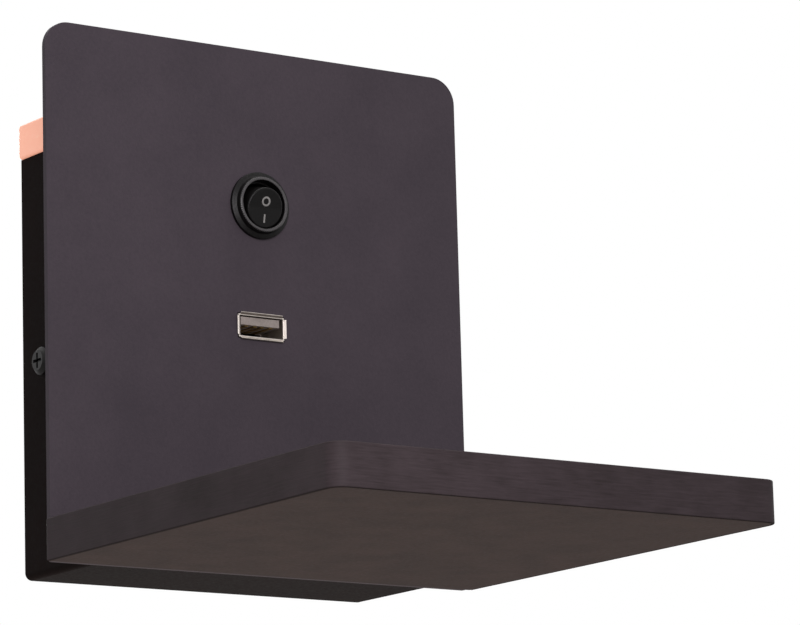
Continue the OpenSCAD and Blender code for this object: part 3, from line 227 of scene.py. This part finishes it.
# Steel screws blackened in a hot oxide bath: oily, dark and slightly glossy
black_oxide = finish("black_oxide_steel", "1c1b1b", "111011", 3, 0.4, (0.35, 0.5),
                     bump=0.004, Metallic=0.6)
# Spring steel wire, drawn bright: clean grey glints
drawn_steel = finish("drawn_spring_steel", "b8b9bb", "8e8f92", 2, 0.2, (0.25, 0.35),
                     Metallic=1.0)
# Nickel-plated steel sheet of the socket's shell, smooth and warm
nickel_plate = finish("nickel_plated_steel", "d5cdc6", "b9b0a8", 3, 0.3, (0.32, 0.45),
                      Metallic=1.0)
# Stamped brass, left bare: a warm yellow shine
brass = finish("stamped_brass", "d3b265", "b18f45", 3, 0.4, (0.25, 0.4), Metallic=1.0)
# Phosphor bronze contacts with a gold flash, dulled by use
gold_flash = finish("gold_flashed_bronze", "9c8048", "7a6236", 1, 0.2, (0.4, 0.55),
                    Metallic=1.0)
# Rolled aluminium sheet as it leaves the mill, with its rolling lines along X
rolled_aluminium = finish("rolled_aluminium", "d9dadc", "b3b4b7", 9, 0.3, (0.3, 0.45),
                          bump=0.004, stretch=(0.05, 1, 1), Metallic=1.0)
# Glass-epoxy boards under white and green solder mask, with the weave just showing
white_mask = finish("white_solder_mask", "e9e9e3", "d6d6cf", 4, 0.5, (0.3, 0.4), bump=0.004)
green_mask = finish("green_solder_mask", "1f6b3a", "124a27", 4, 0.6, (0.28, 0.4), bump=0.004)
# Silicone with yellow phosphor over the diodes: smooth and opaque
phosphor = finish("phosphor_silicone", "f2d263", "d9ac38", 1, 0.3, (0.3, 0.4))
# Natural nylon of the plunger: milky and waxy
natural_nylon = finish("natural_nylon", "e6e2d4", "d2cdbc", 2, 0.3, (0.35, 0.5))
# White moulded polycarbonate of the driver's case, satin
white_case = finish("moulded_white_polycarbonate", "e4e4e0", "d2d2cd", 8, 0.4, (0.4, 0.5),
                    bump=0.005)
# Glass-filled polyester of the socket's tongue, grey and glossy
grey_polyester = finish("glass_filled_polyester", "948a84", "756c67", 2, 0.3, (0.3, 0.45))
# White polyamide of the terminal block
white_polyamide = finish("moulded_white_polyamide", "e0ded6", "cbc9c0", 5, 0.4, (0.42, 0.55),
                         bump=0.005)
# Moulded ABS of the board holder: dark grey and satin
grey_abs = finish("moulded_grey_abs", "3b3b3f", "2c2c30", 6, 0.4, (0.4, 0.55), bump=0.006)
# Phenolic resin of the socket transformer's bobbin, pressed: nearly black, a little shiny
phenolic = finish("pressed_phenolic_resin", "2a2320", "1c1715", 3, 0.3, (0.35, 0.5))
# Aluminium ends of the capacitors, pressed: small and bright
pressed_aluminium = finish("pressed_aluminium", "d2d3d5", "b0b1b4", 2, 0.2, (0.25, 0.4),
                           Metallic=1.0)
# Polyester tape wound round the windings: glossy yellow with faint layers
winding_tape = finish("polyester_tape", "dfb738", "b98f22", 3, 0.5, (0.25, 0.35),
                      stretch=(1, 1, 0.3))
# Shrunk vinyl sleeves of the capacitors: tight, blue and glossy
vinyl_sleeve = finish("shrunk_vinyl_sleeve", "26325e", "1a2347", 4, 0.4, (0.25, 0.35))
# Moulded epoxy of the chip: dull black
black_epoxy = finish("moulded_black_epoxy", "1b1b1c", "131314", 2, 0.2, (0.5, 0.65))
# Ethylene-propylene rubber of the grommet: dull, with a bloom
grommet_rubber = finish("moulded_epdm_rubber", "1d1d1d", "121212", 3, 0.4, (0.6, 0.75),
                        bump=0.01)
# Vinyl wire insulation and crimp sleeves, extruded: smooth, with soft highlights
wire_vinyl = {
    hue: finish(hue + "_wire_vinyl", light, dark, 6, 0.5, (0.35, 0.45))
    for hue, light, dark in (("brown", "5b3722", "452817"), ("blue", "2b55a3", "1d3f80"),
                             ("red", "b3221c", "8c1713"), ("black", "232323", "161616"))
}
crimp_vinyl = finish("red_crimp_vinyl", "b53028", "8f201a", 3, 0.4, (0.3, 0.4))

# Size given to the wave in millimetres, and the values between which it passes to yellow
WAVE_SIZE = 22
STRIPE_EDGE = {"From Min": 0.55, "From Max": 0.65}


def earth_vinyl():
    """Green vinyl insulation with a yellow stripe: bands across a slanted direction."""
    material = finish("green_yellow_wire_vinyl", "3c8f2c", "2c7420", 6, 0.5, (0.35, 0.45))
    tree = material.node_tree
    surface = tree.nodes["Principled BSDF"]
    place = add(tree, "ShaderNodeTexCoord").outputs["Object"]
    bands = add(tree, "ShaderNodeTexWave", {"Vector": place, "Scale": per_mm(WAVE_SIZE)},
                wave_type="BANDS", bands_direction="DIAGONAL")
    stripe = add(tree, "ShaderNodeMapRange", {"Value": bands.outputs["Fac"], **STRIPE_EDGE})
    green = surface.inputs["Base Color"].links[0].from_socket
    both = add(tree, "ShaderNodeMix", {SHARE: stripe.outputs[0], FIRST: green,
                                       SECOND: to_linear("d9c832")}, data_type="RGBA")
    tree.links.new(both.outputs[MIXED], surface.inputs["Base Color"])
    return material


# Emission strength of the lit cover, set against the photograph
GLOW_STRENGTH = 0.64


def lit_opal():
    """Opal acrylic, cast and polished, lit from inside: a warm even glow that is a little
    deeper towards the cover's upper edge, under a glossy skin."""
    material = finish("opal_acrylic_lit", "e2baa8", "dcb09c", 10, 2.5, (0.2, 0.28),
                      Specular_IOR_Level=0.2)
    tree = material.node_tree
    surface = tree.nodes["Principled BSDF"]
    low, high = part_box("light_cover")
    place = add(tree, "ShaderNodeTexCoord").outputs["Object"]
    height = add(tree, "ShaderNodeSeparateXYZ", {0: place}).outputs["Z"]
    share = add(tree, "ShaderNodeMapRange", {"Value": height, "From Min": low.z,
                                             "From Max": high.z})
    glow = add(tree, "ShaderNodeMix", {SHARE: share.outputs[0], FIRST: to_linear("ea9c80"),
                                       SECOND: to_linear("e59478")}, data_type="RGBA")
    tree.links.new(glow.outputs[MIXED], surface.inputs["Emission Color"])
    surface.inputs["Emission Strength"].default_value = GLOW_STRENGTH
    return material


MATERIAL_OF = {
    "front_panel": panel_coat, "housing": housing_coat, "shelf_board": laminate,
    "shelf_edge_band": edge_plastic, "light_cover": lit_opal(), "side_screws": black_oxide,
    "switch_body": black_nylon, "switch_rocker": black_nylon, "switch_plug": black_nylon,
    "switch_plunger": natural_nylon, "switch_spring": drawn_steel,
    "switch_contact_arm": brass, "switch_common_blade": brass, "switch_output_blade": brass,
    "switch_crimps": crimp_vinyl, "socket_shell": nickel_plate,
    "socket_tongue": grey_polyester, "socket_contacts": gold_flash,
    "socket_board": green_mask, "socket_transformer": winding_tape,
    "socket_capacitors": vinyl_sleeve, "socket_chip": black_epoxy, "socket_holder": grey_abs,
    "driver_tray": white_case, "driver_lid": white_case, "driver_board": green_mask,
    "driver_transformer": winding_tape, "driver_capacitors": vinyl_sleeve,
    "terminal_block": white_polyamide, "terminal_tubes": brass, "led_angle": rolled_aluminium,
    "led_board": white_mask, "led_chips": phosphor, "cable_grommet": grommet_rubber,
    "wires_live": wire_vinyl["brown"], "wire_switched": wire_vinyl["brown"],
    "wires_neutral": wire_vinyl["blue"], "wire_led_plus": wire_vinyl["red"],
    "wire_led_minus": wire_vinyl["black"], "wire_earth": earth_vinyl(),
}

# ------------------------------------------------------------------ mesh tools

# Points this close are merged, and faces that meet under the flat angle are joined. Edges over
# the sharp angle are rounded, and those over the crisp angle stay crisp in the shading.
SAME_PLACE = 1e-7
FLAT_ANGLE = math.radians(0.5)
SHARP_ANGLE = math.radians(30)
CRISP_ANGLE = math.radians(40)
BEVEL_STEPS = 2
QUAD_CORNERS = 4


def stand_for(piece, node):
    """The piece takes the place, body and material of a CAD node."""
    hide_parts(node)
    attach(piece, BODY_OF[node])
    piece.data.materials.clear()
    piece.data.materials.append(MATERIAL_OF.get(node, zinc_plate))
    return piece


def smooth(mesh, angle=CRISP_ANGLE):
    """Shades a mesh smooth, and keeps its edges sharper than the angle crisp."""
    mesh.shade_smooth()
    mesh.set_sharp_from_angle(angle=angle)


def new_piece(name, mesh):
    """Object at the origin that shows a mesh."""
    piece = bpy.data.objects.new(name, mesh)
    bpy.context.scene.collection.objects.link(piece)
    return piece


def merged(node):
    """Bmesh copy of a CAD node, its loose triangles joined and its flat faces made whole."""
    shape = bmesh.new()
    shape.from_mesh(NODES[node].data)
    bmesh.ops.remove_doubles(shape, verts=shape.verts, dist=SAME_PLACE)
    bmesh.ops.dissolve_limit(shape, angle_limit=FLAT_ANGLE, verts=shape.verts,
                             edges=shape.edges)
    return shape


def softened(node, radius):
    """The node's shape with every sharp edge rounded to a radius in millimetres."""
    shape = merged(node)
    sharp = [e for e in shape.edges
             if len(e.link_faces) == 2 and e.calc_face_angle() > SHARP_ANGLE]
    bmesh.ops.bevel(shape, geom=sharp, offset=radius * MM, segments=BEVEL_STEPS, profile=0.5,
                    affect="EDGES", clamp_overlap=True)
    mesh = bpy.data.meshes.new(node + "_piece")
    shape.to_mesh(mesh)
    shape.free()
    smooth(mesh)
    piece = new_piece(node + "_piece", mesh)
    even = piece.modifiers.new("even_flats", "WEIGHTED_NORMAL")
    even.keep_sharp = True
    return stand_for(piece, node)


def rounded_wire(node):
    """The node's tube with twice as many sides, rounded by subdivision up to its flat ends."""
    shape = merged(node)
    crease = shape.edges.layers.float.new("crease_edge")
    for face in shape.faces:
        if len(face.verts) > QUAD_CORNERS:
            for edge in face.edges:
                edge[crease] = 1.0
    mesh = bpy.data.meshes.new(node + "_piece")
    shape.to_mesh(mesh)
    shape.free()
    mesh.shade_smooth()
    piece = new_piece(node + "_piece", mesh)
    rounder = piece.modifiers.new("round_sides", "SUBSURF")
    rounder.levels = rounder.render_levels = 1
    return stand_for(piece, node)


def grid_mesh(name, points, round_u=False, round_v=False):
    """Mesh of quads over a grid of points, an array of rows by columns by three. Either way
    round, the last line joins the first where the surface is closed that way."""
    rows, columns = points.shape[:2]
    index = np.arange(rows * columns).reshape(rows, columns)
    if round_u:
        index = np.vstack([index, index[:1]])
    if round_v:
        index = np.hstack([index, index[:, :1]])
    faces = np.stack([index[:-1, :-1], index[:-1, 1:], index[1:, 1:], index[1:, :-1]], -1)
    mesh = bpy.data.meshes.new(name)
    mesh.from_pydata(points.reshape(-1, 3).tolist(), [], faces.reshape(-1, 4).tolist())
    return mesh


def closed(mesh):
    """Merges a mesh's doubled points, fills its open ends and points its faces outwards."""
    shape = bmesh.new()
    shape.from_mesh(mesh)
    bmesh.ops.remove_doubles(shape, verts=shape.verts, dist=SAME_PLACE)
    bmesh.ops.holes_fill(shape, edges=shape.edges, sides=0)
    bmesh.ops.recalc_face_normals(shape, faces=shape.faces)
    shape.to_mesh(mesh)
    shape.free()
    return mesh


# ------------------------------------------------------------------ rocker and its marks

ROCKER_PIVOT = np.array(JOINTS["rocker_tilt"]["pos_m"])
ROCKER_TILT = math.radians(JOINTS["rocker_tilt"]["range_deg"][1] / 2)
# The solid rocker's sizes, and the roll that softens its rim
ROCKER_RADIUS = 5.05 * MM
ROCKER_RISE = 4.2 * MM
ROCKER_BACK = -1.35 * MM
ROCKER_DISH = math.tan(math.radians(3))
ROCKER_CREASE = 0.3 * MM
ROCKER_ROLL = 0.45 * MM
ROCKER_SIDES = 96
FACE_RINGS = 24
ROLL_RINGS = 8


def from_rocker(x, y, z):
    """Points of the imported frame, from places on the tilted rocker: x to the right, y up its
    face and z out of it, each along its own direction from the pivot."""
    up = np.array([0, -math.sin(ROCKER_TILT), math.cos(ROCKER_TILT)])
    out = np.array([0, -math.cos(ROCKER_TILT), -math.sin(ROCKER_TILT)])
    right = np.array([1.0, 0, 0])
    return ROCKER_PIVOT + x[..., None] * right + y[..., None] * up + z[..., None] * out


def rocker_face(y):
    """Height of the rocker's face: it rises from a soft crease towards both ends."""
    return ROCKER_RISE + ROCKER_DISH * (np.sqrt(y ** 2 + ROCKER_CREASE ** 2) - ROCKER_CREASE)


def make_rocker():
    """Disc in polar rows. Inside, each ring lies on the face's height; at the rim, a quarter
    circle of the roll radius turns it down into the skirt, which ends at the flat back."""
    turn = np.linspace(0, 2 * math.pi, ROCKER_SIDES, endpoint=False)
    inner = np.linspace(0, 1, FACE_RINGS) * (ROCKER_RADIUS - ROCKER_ROLL)
    bend = np.linspace(0, math.pi / 2, ROLL_RINGS)[1:]
    reach = np.concatenate([inner, ROCKER_RADIUS - ROCKER_ROLL * (1 - np.sin(bend)),
                            [ROCKER_RADIUS, 0]])
    drop = np.concatenate([np.zeros(FACE_RINGS), ROCKER_ROLL * (1 - np.cos(bend)), [0, 0]])
    x = reach[:, None] * np.cos(turn)
    y = reach[:, None] * np.sin(turn)
    z = rocker_face(y) - drop[:, None]
    z[-2:] = ROCKER_BACK
    mesh = closed(grid_mesh("rocker_piece", from_rocker(x, y, z), round_v=True))
    smooth(mesh)
    return stand_for(new_piece("rocker_piece", mesh), "switch_rocker")


OFF_PLACE = 1.6 * MM
ON_PLACE = -2.6 * MM
MARK_LIFT = 0.03 * MM
MARK_WIDTH = 0.46 * MM
MARK_COLUMNS = 7
# Under 1, so that the print keeps about a third of its height at its edges
MARK_FALL = 0.9
PRINT_ANGLE = math.radians(60)
RING_RADIUS = 0.98 * MM
RING_STEPS = 48
BAR_HALF = 1.03 * MM
BAR_STEPS = 12


def make_mark(name, line_x, line_y, ring):
    """Printed stroke along a line on the rocker's face: across it the height follows half a
    circle's arch, so the print stands proud of the face and thins out to its edges."""
    across = np.linspace(-1, 1, MARK_COLUMNS)
    step = np.stack([np.gradient(line_x), np.gradient(line_y)], -1)
    if ring:
        step = np.roll(np.stack([line_x, line_y], -1), -1, 0) - np.roll(
            np.stack([line_x, line_y], -1), 1, 0)
    step = step / np.linalg.norm(step, axis=1, keepdims=True)
    x = line_x[:, None] - step[:, 1:] * across * MARK_WIDTH / 2
    y = line_y[:, None] + step[:, :1] * across * MARK_WIDTH / 2
    z = rocker_face(y) + MARK_LIFT * np.sqrt(1 - MARK_FALL * across ** 2)
    mesh = grid_mesh(name, from_rocker(x, y, z), round_u=ring)
    smooth(mesh, PRINT_ANGLE)
    mesh.materials.append(white_print)
    piece = new_piece(name, mesh)
    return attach(piece, BODY_OF["switch_rocker"])


def make_marks():
    """A ring on the rocker's upper half for off, and a bar on its lower half for on."""
    turn = np.linspace(0, 2 * math.pi, RING_STEPS, endpoint=False)
    make_mark("mark_off", RING_RADIUS * np.cos(turn), OFF_PLACE + RING_RADIUS * np.sin(turn),
              True)
    along = np.linspace(-1, 1, BAR_STEPS)
    make_mark("mark_on", np.zeros(BAR_STEPS), ON_PLACE + BAR_HALF * along, False)


# ------------------------------------------------------------------ pieces

# Edge radii in millimetres, how deep the bezel's painted crest highlight reaches, and how far
# the plug is swelled on every side
BAND_RADIUS = 0.3
BEZEL_RADIUS = 0.12
CREST_HIGHLIGHT_DEPTH = 0.12 * MM
PART_RADIUS = 0.3
PLUG_RADIUS = 0.1
PRESS_FIT = 0.12 * MM
# Upward share of a face's normal from which it counts as a band's shaded edge, or as a can's end
LEVEL_ENOUGH, QUITE_LEVEL = 0.5, 0.9
# Just over a flange of the bobbin, so that the flange's inner face counts with it
FLANGE_THICK = 2.1 * MM
EDGE_RADIUS = {
    "front_panel": 0.25, "housing": 0.3, "shelf_board": 0.2,
    "light_cover": 0.6, "side_screws": 0.2, "wall_bracket": 0.25,
    "cable_grommet": 0.4, "led_angle": 0.2, "driver_tray": 0.4, "driver_lid": 0.4,
    "terminal_block": 0.3, "socket_holder": 0.3, "socket_tongue": 0.15,
    "switch_crimps": 0.4, "socket_shell": 0.06, "socket_board": 0.1, "socket_chip": 0.1,
}

WIRES = ("wires_live", "wires_neutral", "wire_switched", "wire_led_plus", "wire_led_minus",
         "wire_earth")


def two_toned(node, radius, second, chosen):
    """The node's rounded shape, with a second material on the faces that chosen picks."""
    mesh = softened(node, radius).data
    mesh.materials.append(second)
    for face in mesh.polygons:
        face.material_index = int(chosen(face))


def make_two_toned():
    """The shelf's band with painted shade on its edges, the switch's bezel with a painted crest
    highlight, and on the socket's board the transformer's bobbin and the capacitors' bare ends."""
    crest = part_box("switch_body")[0].y + CREST_HIGHLIGHT_DEPTH
    # The band's top and bottom edges carry painted shade
    two_toned("shelf_edge_band", BAND_RADIUS, band_edge_painted_shade,
              lambda face: abs(face.normal.z) > LEVEL_ENOUGH)
    # The bezel's crest carries a painted highlight
    two_toned("switch_body", BEZEL_RADIUS, crest_highlight_nylon, lambda face: face.center.y < crest)
    low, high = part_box("socket_transformer")
    middle, winding = (low.z + high.z) / 2, (high.z - low.z) / 2 - FLANGE_THICK
    two_toned("socket_transformer", PART_RADIUS, phenolic,
              lambda face: abs(face.center.z - middle) > winding)
    two_toned("socket_capacitors", PART_RADIUS, pressed_aluminium,
              lambda face: face.normal.z > QUITE_LEVEL)


def make_plug():
    """Switch plug as tight as a press fit, so that no light shows past it. Each point moves
    away from the plug's axis in proportion to its distance from it."""
    mesh = softened("switch_plug", PLUG_RADIUS).data
    low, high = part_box("switch_plug")
    middle = np.array([(low.x + high.x) / 2, (low.z + high.z) / 2])
    points = np.empty(3 * len(mesh.vertices))
    mesh.vertices.foreach_get("co", points)
    points = points.reshape(-1, 3)
    swell = 1 + PRESS_FIT / ((high.x - low.x) / 2)
    points[:, [0, 2]] = middle + swell * (points[:, [0, 2]] - middle)
    mesh.vertices.foreach_set("co", points.ravel())
    mesh.update()


def dress_nodes():
    """Rounded pieces where light catches an edge, and a fitting material on the others."""
    for name, radius in EDGE_RADIUS.items():
        softened(name, radius)
    for name in WIRES:
        rounded_wire(name)
    make_two_toned()
    make_plug()
    make_rocker()
    make_marks()
    for name, shown in NODES.items():
        shown.data.materials.clear()
        shown.data.materials.append(MATERIAL_OF.get(name, zinc_plate))


def make_floor():
    """Pale painted floor under the lamp, as far below it as a bedside lamp hangs: a flat grid
    of points at one height."""
    material = finish("matt_floor_paint", "f4f4f2", "efefed", 300, 40, (0.7, 0.8))
    line = np.linspace(-FLOOR_SIDE / 2, FLOOR_SIDE / 2, 3)
    x, y = np.meshgrid(line, line)
    mesh = grid_mesh("floor", np.stack([x, y, np.full_like(x, -FLOOR_BELOW)], -1))
    mesh.materials.append(material)
    new_piece("floor", mesh)


def make_world():
    """White behind the lamp and in its reflections, and a softer even light on its surfaces."""
    world = bpy.data.worlds.new("world")
    bpy.context.scene.world = world
    world.use_nodes = True
    tree = world.node_tree
    tree.nodes.clear()
    path = add(tree, "ShaderNodeLightPath")
    seen = add(tree, "ShaderNodeMath", {0: path.outputs["Is Camera Ray"],
                                        1: path.outputs["Is Glossy Ray"]}, operation="MAXIMUM")
    seen = add(tree, "ShaderNodeMath", {0: seen.outputs[0],
                                        1: path.outputs["Is Transmission Ray"]},
               operation="MAXIMUM")
    soft = add(tree, "ShaderNodeBackground", {"Color": (1, 1, 1, 1), "Strength": WORLD_LIGHT})
    white = add(tree, "ShaderNodeBackground", {"Color": (1, 1, 1, 1), "Strength": 1.0})
    mixed = add(tree, "ShaderNodeMixShader", {0: seen.outputs[0], 1: soft.outputs[0],
                                              2: white.outputs[0]})
    add(tree, "ShaderNodeOutputWorld", {"Surface": mixed.outputs[0]})


make_camera()
make_world()
make_floor()
for lamp_name, lamp_values in LAMPS.items():
    make_lamp(lamp_name, *lamp_values)
dress_nodes()

bpy.context.scene.view_settings.view_transform = "Standard"
